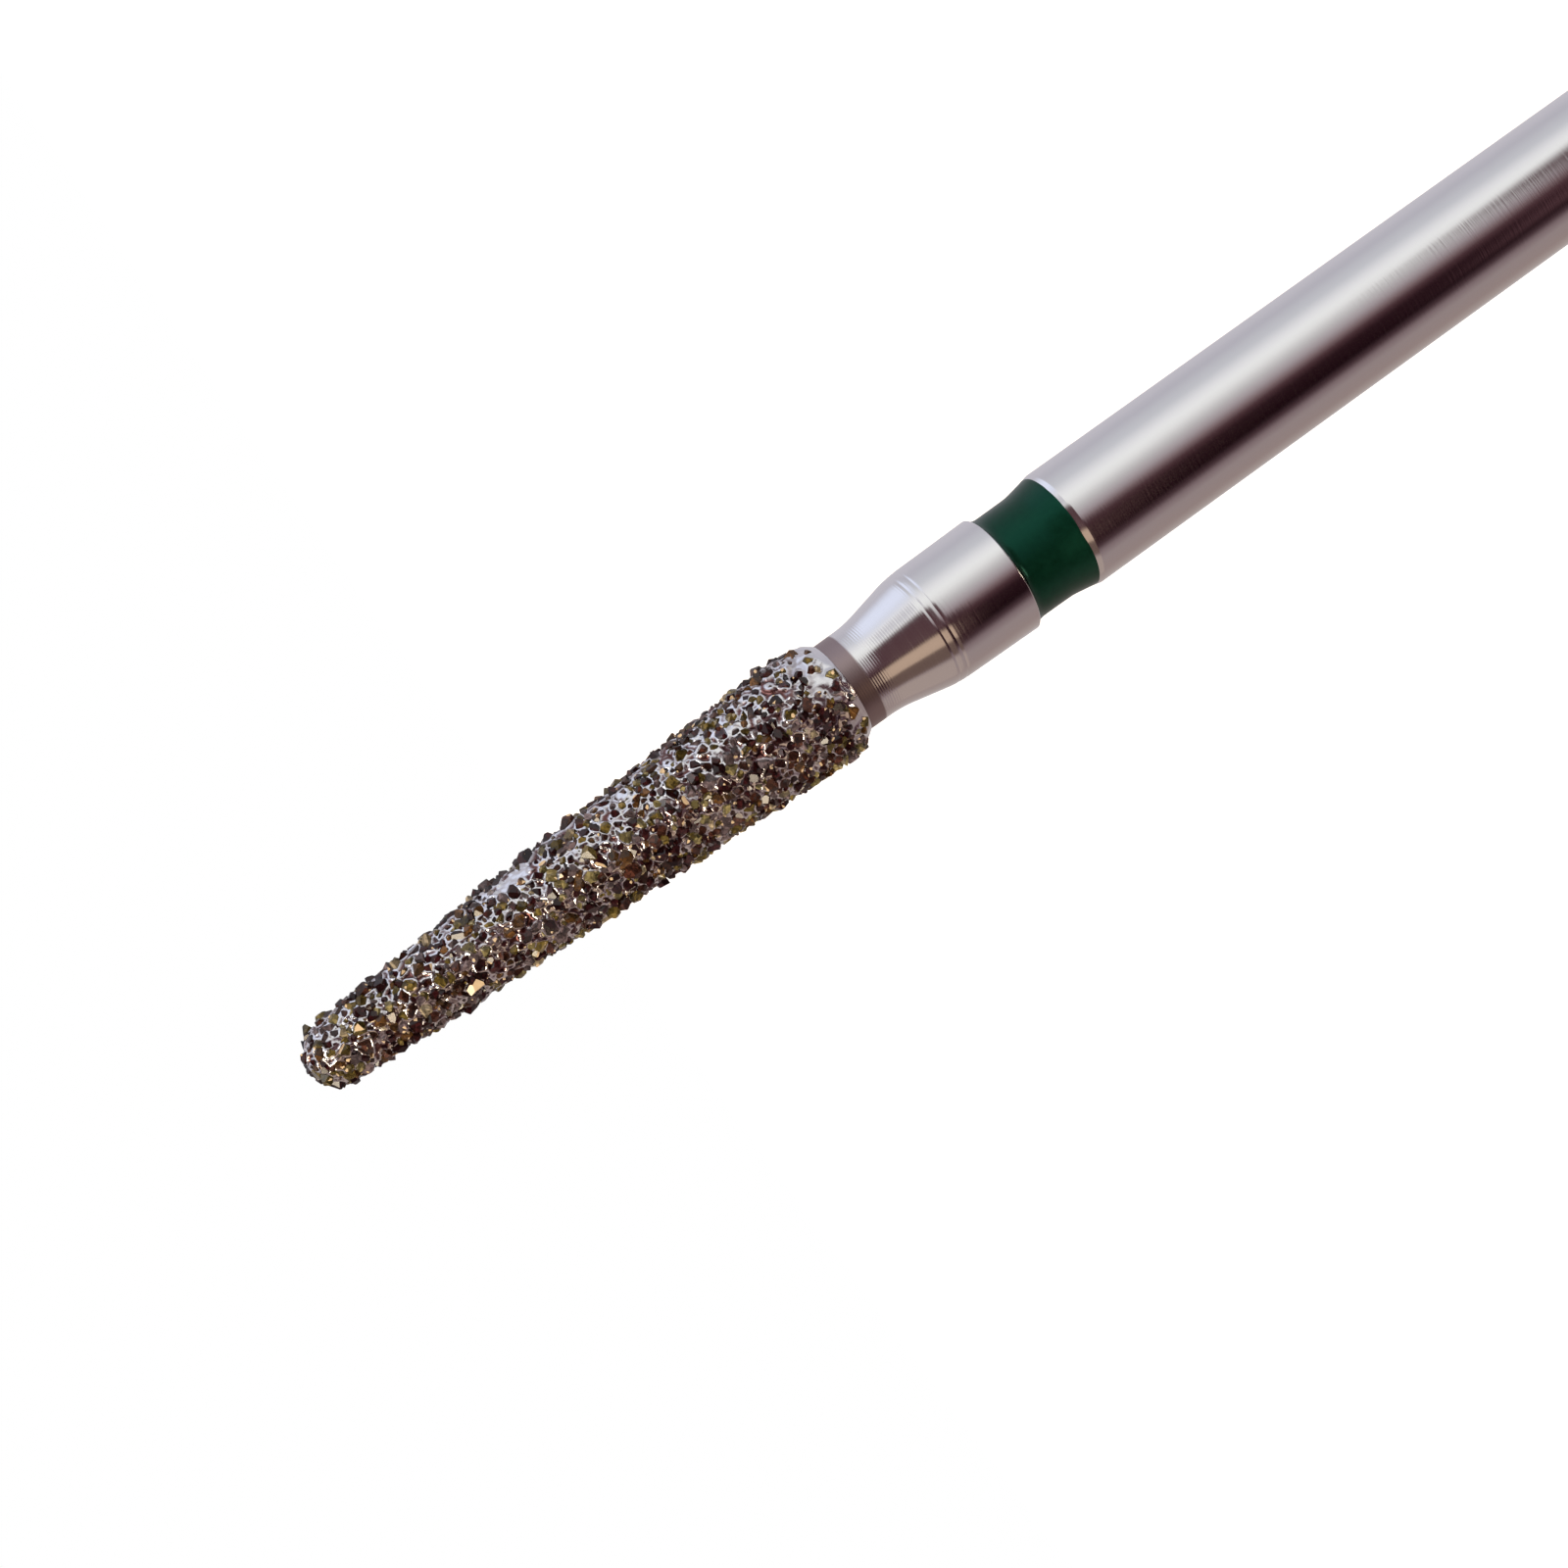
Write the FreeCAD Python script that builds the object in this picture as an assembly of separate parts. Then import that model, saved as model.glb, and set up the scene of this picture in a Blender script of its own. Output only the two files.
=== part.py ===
import FreeCAD, Part
import math
import os
import random
from FreeCAD import Rotation, Vector

# Coarse tapered diamond bur with a 1.6 mm friction-grip shank.
# The flat end of the shank lies on Z = 0 and the round tip points up, along +Z.
# All sizes are in millimetres.

# Shank, the plain round stem that the handpiece chuck grips
shank_diameter = 1.60
shank_length = 10.80
end_chamfer_length = 0.24
end_chamfer_depth = 0.15

# Groove that holds the colour ring, just in front of the shank
groove_width = 0.97
groove_depth = 0.115
groove_floor_rise = 0.004
rear_flank_length = 0.32
front_flank_length = 0.06
edge_break = 0.012

# Lacquer of the colour ring, which creeps up both flanks of the groove
lacquer_thickness = 0.036
lacquer_edge_thickness = 0.010
lacquer_rear_margin = 0.050
lacquer_front_margin = 0.015
lacquer_rounding = 0.12

# Collar in front of the groove, slightly drawn in towards the neck
collar_length = 1.10
collar_rear_step = 0.005
collar_front_step = 0.022
collar_rounding = 2.00

# Narrow band where the collar turns into the neck, with fine scored lines from its rear edge on
band_length = 0.18
band_fall = 0.018
band_rounding = 1.20
score_count = 2
score_width = 0.044
score_depth = 0.013
score_pitch = 0.11

# Neck, a cone that narrows to a short waist behind the head
neck_cone_length = 0.685
waist_length = 0.48
waist_diameter = 1.21
waist_taper = 0.004
neck_rounding = 1.40

# Head, measured over the tops of the diamond grains
head_length = 7.785
head_diameter = 1.61
tip_diameter = 0.88
shoulder_length = 0.27
shoulder_rounding = 0.32

# Electroplated nickel, with its masked edge towards the neck
bond_thickness = 0.092
bond_edge_thickness = 0.016

# Crowns of the diamond grains, the part of each that stands out of the nickel
grain_height = 0.074
grain_reach = 0.088
grain_gap = 0.004
grain_spacing = 0.191
grain_tries = 24
grain_seed = 41
bare_shoulder = 0.10

# How unevenly the corners lie, as shares of a grain's reach, height and corner spacing
least_foot = 0.80
least_height = 0.62
least_top = 0.26
most_top = 0.52
corner_wander = 0.17

# Places along the axis that follow from the lengths above
collar_start = shank_length + groove_width
band_start = collar_start + collar_length
cone_start = band_start + band_length
waist_start = cone_start + neck_cone_length
head_start = waist_start + waist_length
shoulder_top = head_start + shoulder_length
tip_centre = head_start + head_length - tip_diameter / 2

# Radii that follow from the diameters above
shank_radius = shank_diameter / 2
groove_radius = shank_radius - groove_depth
groove_rear_radius = groove_radius + groove_floor_rise
collar_rear_radius = shank_radius - collar_rear_step
collar_front_radius = shank_radius - collar_front_step
cone_radius = collar_front_radius - band_fall
waist_radius = waist_diameter / 2
waist_rear_radius = waist_radius + waist_taper

# The core lies this far inside the tops of the grains
core_offset = grain_height + bond_thickness

# Half-angle of the taper whose side runs tangent to the round tip
taper_run = tip_centre - shoulder_top
taper_slant = math.hypot(head_diameter / 2, taper_run)
taper_angle = math.acos(tip_diameter / 2 / taper_slant) - math.atan2(taper_run, head_diameter / 2)


def place(radius, height):
    """Point of a profile in the XZ plane."""
    return Vector(radius, 0, height)


def rounded_path(corners):
    """Straight edges through (radius, height, rounding) corners, joined by tangent arcs."""
    points = [place(radius, height) for radius, height, rounding in corners]
    edges = []
    last = points[0]
    for i in range(1, len(points) - 1):
        back = points[i - 1] - points[i]
        ahead = points[i + 1] - points[i]
        bend = (math.pi - back.getAngle(ahead)) / 2
        room = 0.49 * min(back.Length, ahead.Length)
        cut = min(corners[i][2] * math.tan(bend), room)
        if cut < 1e-4:
            edges.append(Part.LineSegment(last, points[i]).toShape())
            last = points[i]
            continue
        back.normalize()
        ahead.normalize()
        inward = (back + ahead).normalize()
        sagitta = cut / math.tan(bend) * (1 / math.cos(bend) - 1)
        arc_start = points[i] + back * cut
        arc_end = points[i] + ahead * cut
        edges.append(Part.LineSegment(last, arc_start).toShape())
        edges.append(Part.Arc(arc_start, points[i] + inward * sagitta, arc_end).toShape())
        last = arc_end
    edges.append(Part.LineSegment(last, points[-1]).toShape())
    return edges


def turned(path):
    """Solid of revolution between the Z axis and a path of edges that rises along it."""
    bottom = path[0].firstVertex().Point
    top = path[-1].lastVertex().Point
    edges = list(path)
    if top.x > 1e-6:
        edges.append(Part.LineSegment(top, place(0, top.z)).toShape())
    edges.append(Part.LineSegment(place(0, top.z), place(0, bottom.z)).toShape())
    if bottom.x > 1e-6:
        edges.append(Part.LineSegment(place(0, bottom.z), bottom).toShape())
    face = Part.Face(Part.Wire(edges))
    return face.revolve(Vector(0, 0, 0), Vector(0, 0, 1), 360)


def taper_foot(offset):
    """Radius at the shoulder of the taper that lies this far inside the grain tops."""
    return head_diameter / 2 - offset / math.cos(taper_angle)


def tip_point(offset, lean):
    """Point of the round tip that lies this far inside, at an angle from the taper's foot."""
    radius = tip_diameter / 2 - offset
    return place(radius * math.cos(lean), tip_centre + radius * math.sin(lean))


def round_tip(offset):
    """Profile arc of the round tip, from the end of the taper to the pole."""
    halfway = (math.pi / 2 + taper_angle) / 2
    leans = (taper_angle, halfway, math.pi / 2)
    return Part.Arc(*[tip_point(offset, lean) for lean in leans]).toShape()


def score_ring(index):
    """V-shaped ring that cuts one scored line, the first at the rear edge of the band."""
    height = band_start + index * score_pitch
    fall = band_fall / band_length
    bottom = collar_front_radius - index * score_pitch * fall - score_depth
    corners = [
        place(bottom, height),
        place(bottom + 2 * score_depth, height + score_width),
        place(bottom + 2 * score_depth, height - score_width),
    ]
    face = Part.Face(Part.makePolygon(corners + corners[:1]))
    return face.revolve(Vector(0, 0, 0), Vector(0, 0, 1), 360)


def make_steel_blank():
    """The one turned piece: shank, ring groove, collar, neck and the core of the head."""
    core_top = tip_point(core_offset, taper_angle)
    corners = [
        (0, 0, 0),
        (shank_radius - end_chamfer_depth, 0, 0),
        (shank_radius, end_chamfer_length, 0),
        (shank_radius, shank_length - edge_break, 0),
        (shank_radius - edge_break, shank_length, 0),
        (groove_rear_radius, shank_length + rear_flank_length, 0),
        (groove_radius, collar_start - front_flank_length, 0),
        (collar_rear_radius - edge_break, collar_start, 0),
        (collar_rear_radius, collar_start + edge_break, 0),
        (collar_front_radius, band_start, collar_rounding),
        (cone_radius, cone_start, band_rounding),
        (waist_rear_radius, waist_start, neck_rounding),
        (waist_radius, head_start, 0),
        (taper_foot(core_offset), shoulder_top, 0),
        (core_top.x, core_top.z, 0),
    ]
    blank = turned(rounded_path(corners) + [round_tip(core_offset)])
    return blank.cut([score_ring(i) for i in range(score_count)])


def make_colour_ring(blank):
    """Lacquer between the groove and its own outer skin, thin towards both edges."""
    rear_drop = edge_break + lacquer_rear_margin * groove_depth / rear_flank_length
    front_drop = edge_break + lacquer_front_margin * groove_depth / front_flank_length
    rear_edge = shank_radius - rear_drop + lacquer_edge_thickness
    front_edge = collar_rear_radius - front_drop + lacquer_edge_thickness
    rear_floor = shank_length + rear_flank_length + lacquer_thickness
    front_floor = collar_start - front_flank_length - lacquer_thickness
    corners = [
        (rear_edge, shank_length + lacquer_rear_margin, 0),
        (groove_rear_radius + lacquer_thickness, rear_floor, lacquer_rounding),
        (groove_radius + lacquer_thickness, front_floor, lacquer_rounding),
        (front_edge, collar_start - lacquer_front_margin, 0),
    ]
    return turned(rounded_path(corners)).cut(blank)


def make_nickel_bond(blank):
    """Plated layer all over the head, which the grains stand out of."""
    side_top = tip_point(grain_height, taper_angle)
    corners = [
        (waist_radius + bond_edge_thickness, head_start, 0),
        (taper_foot(grain_height), shoulder_top, shoulder_rounding),
        (side_top.x, side_top.z, 0),
    ]
    return turned(rounded_path(corners) + [round_tip(grain_height)]).cut(blank)


def nickel_spot(along, turn):
    """Point of the nickel's surface this far from the pole of the tip, and its outward way."""
    radius = tip_diameter / 2 - grain_height
    cap = radius * (math.pi / 2 - taper_angle)
    lean = math.pi / 2 - min(along, cap) / radius
    past = max(along - cap, 0)
    profile = tip_point(grain_height, lean)
    ring = profile.x + past * math.sin(taper_angle)
    height = profile.z - past * math.cos(taper_angle)
    around = Vector(math.cos(turn), math.sin(turn), 0)
    outward = around * math.cos(lean) + Vector(0, 0, math.sin(lean))
    return around * ring + Vector(0, 0, height), outward


def close_spots(rows, spot):
    """Spots already taken in the rows beside this place and in its own row."""
    row = math.floor(spot.z / (2 * grain_spacing))
    return [other for near in (row - 1, row, row + 1) for other, way in rows.get(near, [])]


def scatter(draw):
    """Random but even spots all over the coated surface, kept in rows along the axis."""
    radius = tip_diameter / 2 - grain_height
    widest = taper_foot(grain_height)
    cap = radius * (math.pi / 2 - taper_angle)
    side = (tip_centre - shoulder_top - bare_shoulder - grain_reach) / math.cos(taper_angle)
    area = math.pi * (radius + widest) * side + 2 * math.pi * radius ** 2
    rows = {}
    for i in range(round(area / (grain_spacing ** 2 * math.sin(math.pi / 3)))):
        chosen = None
        most_room = 0
        for attempt in range(grain_tries):
            spot, outward = nickel_spot(draw.uniform(0, cap + side), draw.uniform(0, math.tau))
            if math.hypot(spot.x, spot.y) < draw.uniform(0, widest):
                continue
            room = min(map(spot.distanceToPoint, close_spots(rows, spot)), default=math.inf)
            if room > most_room:
                most_room = room
                chosen = (spot, outward)
        if chosen:
            row = math.floor(chosen[0].z / (2 * grain_spacing))
            rows.setdefault(row, []).append(chosen)
    return rows


def make_grain(spot, outward, reach, draw):
    """One crystal crown: a flat foot on the nickel, with a peak, a ridge or a facet on top."""
    peak, ridge, broad_ridge, facet = (4, 1), (4, 2), (5, 2), (5, 3)
    foot_count, top_count = draw.choice([peak, ridge, broad_ridge, facet])
    height = grain_height * reach / grain_reach
    first = draw.uniform(0, math.tau)
    stand = Rotation(Vector(0, 0, 1), outward)

    def corner(turn, share, lift):
        angle = first + math.tau * turn
        flat = Vector(math.cos(angle), math.sin(angle), 0) * share * reach
        return spot + stand.multVec(flat + Vector(0, 0, lift * height))

    foot = []
    for i in range(foot_count):
        turn = (i + draw.uniform(-corner_wander, corner_wander)) / foot_count
        foot.append(corner(turn, draw.uniform(least_foot, 1), 0))
    top = []
    for i in range(top_count):
        turn = (i + 0.5 + draw.uniform(-corner_wander, corner_wander)) / top_count
        top.append(corner(turn, draw.uniform(least_top, most_top), draw.uniform(least_height, 1)))

    outlines = [foot[::-1]]
    if top_count > 2:
        outlines.append(top)
    for i in range(foot_count):
        after = (i + 1) % foot_count
        crest = i * top_count // foot_count
        next_crest = after * top_count // foot_count
        outlines.append([foot[i], foot[after], top[crest]])
        if next_crest != crest:
            outlines.append([foot[after], top[next_crest], top[crest]])
    sides = [Part.Face(Part.makePolygon(outline + outline[:1])) for outline in outlines]
    grain = Part.Solid(Part.Shell(sides))
    if grain.Volume < 0:
        grain.reverse()
    return grain


def make_diamond_grit():
    """All grains of the coating, none reaching past half the way to its nearest neighbour."""
    draw = random.Random(grain_seed)
    rows = scatter(draw)
    grains = []
    for spots in rows.values():
        for spot, outward in spots:
            distances = sorted(map(spot.distanceToPoint, close_spots(rows, spot)))
            reach = min(grain_reach, (distances[1] - grain_gap) / 2)
            grains.append(make_grain(spot, outward, reach, draw))
    return Part.makeCompound(grains)


def save(node, shape):
    """Write one piece to its own file."""
    shape.exportStep("parts/" + node + ".step")


os.makedirs("parts", exist_ok=True)
steel_blank = make_steel_blank()
save("steel_blank", steel_blank)
save("colour_ring", make_colour_ring(steel_blank))
save("nickel_bond", make_nickel_bond(steel_blank))
save("diamond_grit", make_diamond_grit())
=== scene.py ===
import math
import random

import bmesh
import bpy
import numpy as np
from mathutils import Matrix, Vector, noise


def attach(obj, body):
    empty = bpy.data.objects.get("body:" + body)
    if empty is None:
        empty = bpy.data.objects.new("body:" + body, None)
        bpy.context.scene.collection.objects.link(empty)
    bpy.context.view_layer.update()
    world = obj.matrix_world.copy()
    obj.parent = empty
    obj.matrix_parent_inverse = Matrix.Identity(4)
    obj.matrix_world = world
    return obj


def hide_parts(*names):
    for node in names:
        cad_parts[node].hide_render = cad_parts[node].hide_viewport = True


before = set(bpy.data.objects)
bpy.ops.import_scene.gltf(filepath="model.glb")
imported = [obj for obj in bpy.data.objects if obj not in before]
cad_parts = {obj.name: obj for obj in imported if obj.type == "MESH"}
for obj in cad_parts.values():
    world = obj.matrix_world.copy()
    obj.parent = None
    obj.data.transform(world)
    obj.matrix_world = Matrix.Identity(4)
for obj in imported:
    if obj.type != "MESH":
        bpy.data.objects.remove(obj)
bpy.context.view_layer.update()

# Turned blank. One stainless steel rod, turned and polished: the chamfered shank, the groove
# for the colour ring, the collar, two scored lines, the drawn-in neck and the core of the head.
bpy.ops.object.select_all(action="DESELECT")

shank_radius = 0.80
bottom_radius = 0.65
chamfer_top = 0.24
shank_end = 10.788
# Radius and height of each station, from the groove's foot up to the core's round end
blank_stations = [
    (0.689, 11.12), (0.685, 11.71), (0.783, 11.77), (0.795, 11.782),
    (0.7793, 12.786), (0.7786, 12.818), (0.7774, 12.848), (0.7752, 12.859), (0.7724, 12.870),
    (0.7741, 12.881), (0.7751, 12.892), (0.7730, 12.917), (0.7701, 12.948), (0.7688, 12.960),
    (0.7662, 12.970), (0.7628, 12.981), (0.7641, 12.992), (0.7645, 13.003), (0.7615, 13.027),
    (0.7580, 13.050), (0.7518, 13.085), (0.7450, 13.118), (0.609, 13.735),
    (0.605, 14.215), (0.6387, 14.485), (0.2740, 21.57), (0.2500, 21.68), (0.2050, 21.755),
    (0.1400, 21.805), (0.0600, 21.831),
]
rod_turns = 160

bpy.ops.mesh.primitive_cylinder_add(
    vertices=rod_turns, radius=shank_radius / 1000, depth=(shank_end - chamfer_top) / 1000,
    location=(0, 0, (shank_end + chamfer_top) / 2000), end_fill_type="NGON")
blank = bpy.context.object
blank.name = "turned_blank"
bpy.ops.object.transform_apply(location=True, rotation=True, scale=True)


def pick_end(obj, up):
    """Selects the flat end face that looks up or down, and nothing else."""
    mesh = bmesh.from_edit_mesh(obj.data)
    for face in mesh.faces:
        face.select_set(False)
    ends = [f for f in mesh.faces if len(f.verts) > 4 and f.normal.z * up > 0.99]
    ends[0].select_set(True)
    mesh.select_flush_mode()
    bmesh.update_edit_mesh(obj.data)


def pull_to(radius, height, was_radius, was_height):
    """Draws the selected end out to the next station of the profile."""
    lift = (height - was_height) / 1000
    bpy.ops.mesh.extrude_region_move(TRANSFORM_OT_translate={"value": (0, 0, lift)})
    grow = radius / was_radius
    bpy.ops.transform.resize(value=(grow, grow, 1), center_override=(0, 0, height / 1000))


bpy.ops.object.mode_set(mode="EDIT")
bpy.ops.mesh.select_mode(type="FACE")
pick_end(blank, -1)
pull_to(bottom_radius, 0, shank_radius, chamfer_top)
pick_end(blank, 1)
here = (shank_radius, shank_end)
for station in blank_stations:
    pull_to(station[0], station[1], here[0], here[1])
    here = station


def ring_edges(obj, height, reach=0.004):
    """Selects the edges that run round the piece at one height, in millimetres."""
    mesh = bmesh.from_edit_mesh(obj.data)
    for part in list(mesh.verts) + list(mesh.edges) + list(mesh.faces):
        part.select_set(False)
    for edge in mesh.edges:
        if all(abs(v.co.z * 1000 - height) < reach for v in edge.verts):
            edge.select_set(True)
    bmesh.update_edit_mesh(obj.data)


# Rounded corners of the profile, as height, width and steps of each
rounded_corners = [
    (13.735, 0.146, 8), (14.215, 0.008, 2), (11.12, 0.05, 3), (11.71, 0.012, 2),
    (11.782, 0.005, 2), (10.788, 0.020, 3), (0.24, 0.03, 4), (0.0, 0.02, 3),
]
bpy.ops.mesh.select_mode(type="EDGE")
for height, width, steps in rounded_corners:
    ring_edges(blank, height)
    bpy.ops.mesh.bevel(
        offset=width / 1000, offset_type="OFFSET", segments=steps, profile=0.5, affect="EDGES")
bpy.ops.object.mode_set(mode="OBJECT")

bpy.ops.object.select_all(action="DESELECT")
blank.select_set(True)
bpy.context.view_layer.objects.active = blank
bpy.ops.object.shade_smooth_by_angle(angle=math.radians(24))

# Steel: bright, with fine marks of the turning tool that run round it, ridges that the feed
# left on the neck, and a dull band that was masked off when the head was plated
steel = bpy.data.materials.new("polished_steel")
steel.use_nodes = True
nodes, links = steel.node_tree.nodes, steel.node_tree.links
steel_shader = nodes["Principled BSDF"]
steel_shader.inputs["Metallic"].default_value = 1
place = nodes.new("ShaderNodeTexCoord")
across = nodes.new("ShaderNodeMapping")
across.inputs["Scale"].default_value = (60, 60, 30000)
links.new(place.outputs["Object"], across.inputs["Vector"])
marks = nodes.new("ShaderNodeTexNoise")
marks.inputs["Scale"].default_value = 1
marks.inputs["Detail"].default_value = 3
links.new(across.outputs["Vector"], marks.inputs["Vector"])
dull = nodes.new("ShaderNodeMapRange")
dull.inputs["To Min"].default_value = 0.10
dull.inputs["To Max"].default_value = 0.20
links.new(marks.outputs["Fac"], dull.inputs["Value"])
parts = nodes.new("ShaderNodeSeparateXYZ")
links.new(place.outputs["Object"], parts.inputs["Vector"])
masked = nodes.new("ShaderNodeMapRange")
masked.inputs["From Min"].default_value = 0.013970
masked.inputs["From Max"].default_value = 0.013995
links.new(parts.outputs["Z"], masked.inputs["Value"])
finish = nodes.new("ShaderNodeMix")
finish.inputs["B"].default_value = 0.38
links.new(masked.outputs["Result"], finish.inputs["Factor"])
links.new(dull.outputs["Result"], finish.inputs["A"])
links.new(finish.outputs["Result"], steel_shader.inputs["Roughness"])
shade = nodes.new("ShaderNodeMix")
shade.data_type = "RGBA"
shade.inputs["A"].default_value = (0.80, 0.79, 0.81, 1)
shade.inputs["B"].default_value = (0.34, 0.265, 0.27, 1)
links.new(masked.outputs["Result"], shade.inputs["Factor"])
links.new(shade.outputs["Result"], steel_shader.inputs["Base Color"])
relief = nodes.new("ShaderNodeBump")
relief.inputs["Strength"].default_value = 0.10
relief.inputs["Distance"].default_value = 0.00001
links.new(marks.outputs["Fac"], relief.inputs["Height"])
feed = nodes.new("ShaderNodeTexWave")
feed.bands_direction = "Z"
feed.inputs["Scale"].default_value = 9500
links.new(place.outputs["Object"], feed.inputs["Vector"])
on_neck = nodes.new("ShaderNodeMapRange")
on_neck.inputs["From Min"].default_value = 0.01299
on_neck.inputs["From Max"].default_value = 0.01305
links.new(parts.outputs["Z"], on_neck.inputs["Value"])
ridge = nodes.new("ShaderNodeMath")
ridge.operation = "MULTIPLY"
links.new(feed.outputs["Fac"], ridge.inputs[0])
links.new(on_neck.outputs["Result"], ridge.inputs[1])
ridges = nodes.new("ShaderNodeBump")
ridges.inputs["Strength"].default_value = 1.0
ridges.inputs["Distance"].default_value = 0.0000006
links.new(ridge.outputs["Value"], ridges.inputs["Height"])
links.new(relief.outputs["Normal"], ridges.inputs["Normal"])
links.new(ridges.outputs["Normal"], steel_shader.inputs["Normal"])
blank.data.materials.append(steel)
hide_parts("steel_blank")
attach(blank, "root")

# Colour ring. Green lacquer baked into the groove; it fills the corners, thins out up both
# flanks and ends in an edge that wavers a little round the rod.
bpy.ops.object.select_all(action="DESELECT")

lacquer_foot = (0.7800, 10.850)
lacquer_skin = [
    (0.7800, 10.862), (0.7700, 10.905), (0.7480, 11.030), (0.7330, 11.120), (0.7265, 11.175),
    (0.7240, 11.240), (0.7222, 11.420), (0.7212, 11.600), (0.7225, 11.650), (0.7290, 11.690),
    (0.7450, 11.728), (0.7642, 11.755),
]
lacquer_bed = [(0.7560, 11.7555), (0.6820, 11.712), (0.6860, 11.118), (0.7700, 10.849)]
bpy.ops.mesh.primitive_circle_add(
    vertices=rod_turns, radius=lacquer_foot[0] / 1000, location=(0, 0, lacquer_foot[1] / 1000),
    fill_type="NOTHING")
lacquer = bpy.context.object
lacquer.name = "lacquer_ring"
bpy.ops.object.transform_apply(location=True, rotation=True, scale=True)
bpy.ops.object.mode_set(mode="EDIT")
bpy.ops.mesh.select_mode(type="EDGE")
bpy.ops.mesh.select_all(action="SELECT")
here = lacquer_foot
for station in lacquer_skin + lacquer_bed:
    pull_to(station[0], station[1], here[0], here[1])
    here = station
bpy.ops.mesh.select_all(action="DESELECT")
bpy.ops.mesh.select_non_manifold()
bpy.ops.mesh.bridge_edge_loops()
bpy.ops.mesh.select_all(action="SELECT")
bpy.ops.mesh.normals_make_consistent(inside=False)
bpy.ops.object.mode_set(mode="OBJECT")

# The edges waver: the shift is full at the ring's foot and head, and fades out a short way in
lacquer_low, lacquer_high = 10.849, 11.7555
low_fade, high_fade = 0.12, 0.05
waver = 0.006
for corner in lacquer.data.vertices:
    turn = math.atan2(corner.co.y, corner.co.x)
    height = corner.co.z * 1000
    near_foot = max(0, 1 - (height - lacquer_low) / low_fade)
    near_head = max(0, 1 - (lacquer_high - height) / high_fade)
    edge = near_foot - near_head
    wave = math.sin(3 * turn + 0.6) + 0.7 * math.sin(7 * turn + 2.1) + 0.4 * math.sin(13 * turn)
    corner.co.z += edge * wave * waver / 1000
bpy.ops.object.select_all(action="DESELECT")
lacquer.select_set(True)
bpy.context.view_layer.objects.active = lacquer
bpy.ops.object.shade_smooth_by_angle(angle=math.radians(30))

green = bpy.data.materials.new("green_lacquer")
green.use_nodes = True
nodes, links = green.node_tree.nodes, green.node_tree.links
green_shader = nodes["Principled BSDF"]
green_shader.inputs["Specular Tint"].default_value = (0.14, 0.90, 0.68, 1)
place = nodes.new("ShaderNodeTexCoord")
specks = nodes.new("ShaderNodeTexNoise")
specks.inputs["Scale"].default_value = 14000
specks.inputs["Detail"].default_value = 4
links.new(place.outputs["Object"], specks.inputs["Vector"])
tone = nodes.new("ShaderNodeMix")
tone.data_type = "RGBA"
tone.inputs["A"].default_value = (0.0006, 0.0075, 0.0028, 1)
tone.inputs["B"].default_value = (0.0018, 0.0180, 0.0090, 1)
links.new(specks.outputs["Fac"], tone.inputs["Factor"])
links.new(tone.outputs["Result"], green_shader.inputs["Base Color"])
haze = nodes.new("ShaderNodeMapRange")
haze.inputs["To Min"].default_value = 0.24
haze.inputs["To Max"].default_value = 0.38
links.new(specks.outputs["Fac"], haze.inputs["Value"])
links.new(haze.outputs["Result"], green_shader.inputs["Roughness"])
peel = nodes.new("ShaderNodeBump")
peel.inputs["Strength"].default_value = 0.25
peel.inputs["Distance"].default_value = 0.000004
links.new(specks.outputs["Fac"], peel.inputs["Height"])
links.new(peel.outputs["Normal"], green_shader.inputs["Normal"])
lacquer.data.materials.append(green)
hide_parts("colour_ring")
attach(lacquer, "root")

# Diamond grains. Coarse synthetic crystals held half sunk in the plating: blocky cubes and
# eight-sided crystals with their corners cut off, and broken splinters, olive, brown and grey.
bpy.ops.object.select_all(action="DESELECT")

tip_radius = 0.366
tip_height = 21.56
shoulder_radius = 0.731
shoulder_height = 14.485
head_foot = 14.215
foot_radius = 0.616
# Radius over the grains at the shoulder and at the tip
widest, narrowest = 0.805, 0.44
taper = math.asin((widest - narrowest) / (tip_height - shoulder_height))
slope_step = 0.02

# Spots of the big grains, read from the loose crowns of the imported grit
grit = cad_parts["diamond_grit"].data.copy()
crowns = bmesh.new()
crowns.from_mesh(grit)
bmesh.ops.remove_doubles(crowns, verts=crowns.verts, dist=1e-7)
crowns.verts.ensure_lookup_table()
waiting = set(range(len(crowns.verts)))
spots = []


def ring_at(height):
    """Radius of the plating's plain surface at this height, in millimetres."""
    if height > tip_height:
        return math.sqrt(max(tip_radius ** 2 - (height - tip_height) ** 2, 0))
    if height > shoulder_height:
        return tip_radius / math.cos(taper) + (tip_height - height) * math.tan(taper)
    share = (shoulder_height - height) / (shoulder_height - head_foot)
    return foot_radius + (shoulder_radius - foot_radius) * max(1 - share ** 1.5, 0) ** 0.9


def on_head(height, turn):
    """Point of that surface at this height and turn."""
    return Vector((ring_at(height) * math.cos(turn), ring_at(height) * math.sin(turn), height))


def outward_at(point):
    """Way out of the head's surface at this point, in millimetres."""
    if point.z > tip_height:
        return (point - Vector((0, 0, tip_height))).normalized()
    flat = Vector((point.x, point.y, 0)).normalized()
    below = ring_at(max(point.z - slope_step, head_foot))
    slope = (ring_at(point.z + slope_step) - below) / (2 * slope_step)
    return (flat - Vector((0, 0, slope))).normalized()


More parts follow.
